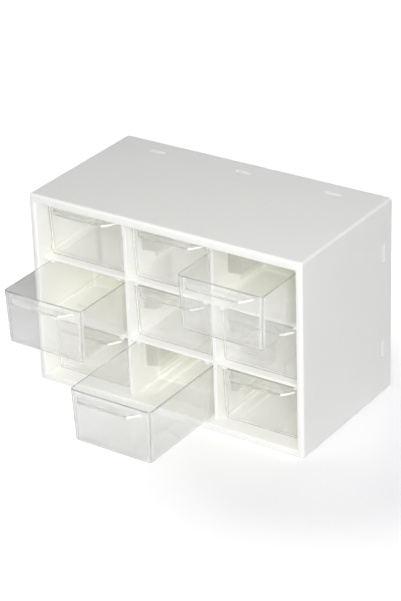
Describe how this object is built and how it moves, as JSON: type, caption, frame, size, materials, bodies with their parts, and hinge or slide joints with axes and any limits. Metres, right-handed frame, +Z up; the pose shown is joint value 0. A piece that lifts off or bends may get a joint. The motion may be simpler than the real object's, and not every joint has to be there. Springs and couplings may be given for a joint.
{
  "type": "desktop drawer organizer",
  "caption": "White plastic desktop cabinet with a grid of clear pull-out drawers for small items, each with a finger lip, some drawn open.",
  "frame": {"origin": "centre of the case's bottom face", "axes": "+Z up, the drawers open towards -Y, +X to the right as seen from the front"},
  "size_m": [0.214, 0.1879, 0.142],
  "materials": {
    "case_plastic": "white polystyrene, satin, slightly translucent",
    "drawer_plastic": "clear polystyrene, glossy"
  },
  "bodies": {
    "case": {"outer_shell": "case_plastic", "back_panel": "case_plastic", "left_divider": "case_plastic", "right_divider": "case_plastic", "upper_shelf": "case_plastic", "lower_shelf": "case_plastic"},
    "bottom_left_drawer": {"drawer_bottom_left": "drawer_plastic"},
    "bottom_middle_drawer": {"drawer_bottom_middle": "drawer_plastic"},
    "bottom_right_drawer": {"drawer_bottom_right": "drawer_plastic"},
    "middle_left_drawer": {"drawer_middle_left": "drawer_plastic"},
    "middle_middle_drawer": {"drawer_middle_middle": "drawer_plastic"},
    "middle_right_drawer": {"drawer_middle_right": "drawer_plastic"},
    "top_left_drawer": {"drawer_top_left": "drawer_plastic"},
    "top_middle_drawer": {"drawer_top_middle": "drawer_plastic"},
    "top_right_drawer": {"drawer_top_right": "drawer_plastic"}
  },
  "joints": [
    {"name": "bottom_left_slide", "type": "slide", "parent": "case", "child": "bottom_left_drawer", "axis": [0, -1, 0], "range_m": [0, 0.099]},
    {"name": "bottom_middle_slide", "type": "slide", "parent": "case", "child": "bottom_middle_drawer", "axis": [0, -1, 0], "range_m": [-0.0751, 0.0239]},
    {"name": "bottom_right_slide", "type": "slide", "parent": "case", "child": "bottom_right_drawer", "axis": [0, -1, 0], "range_m": [0, 0.099]},
    {"name": "middle_left_slide", "type": "slide", "parent": "case", "child": "middle_left_drawer", "axis": [0, -1, 0], "range_m": [-0.0519, 0.0471]},
    {"name": "middle_middle_slide", "type": "slide", "parent": "case", "child": "middle_middle_drawer", "axis": [0, -1, 0], "range_m": [0, 0.099]},
    {"name": "middle_right_slide", "type": "slide", "parent": "case", "child": "middle_right_drawer", "axis": [0, -1, 0], "range_m": [0, 0.099]},
    {"name": "top_left_slide", "type": "slide", "parent": "case", "child": "top_left_drawer", "axis": [0, -1, 0], "range_m": [0, 0.099]},
    {"name": "top_middle_slide", "type": "slide", "parent": "case", "child": "top_middle_drawer", "axis": [0, -1, 0], "range_m": [0, 0.099]},
    {"name": "top_right_slide", "type": "slide", "parent": "case", "child": "top_right_drawer", "axis": [0, -1, 0], "range_m": [-0.047, 0.052]}
  ]
}
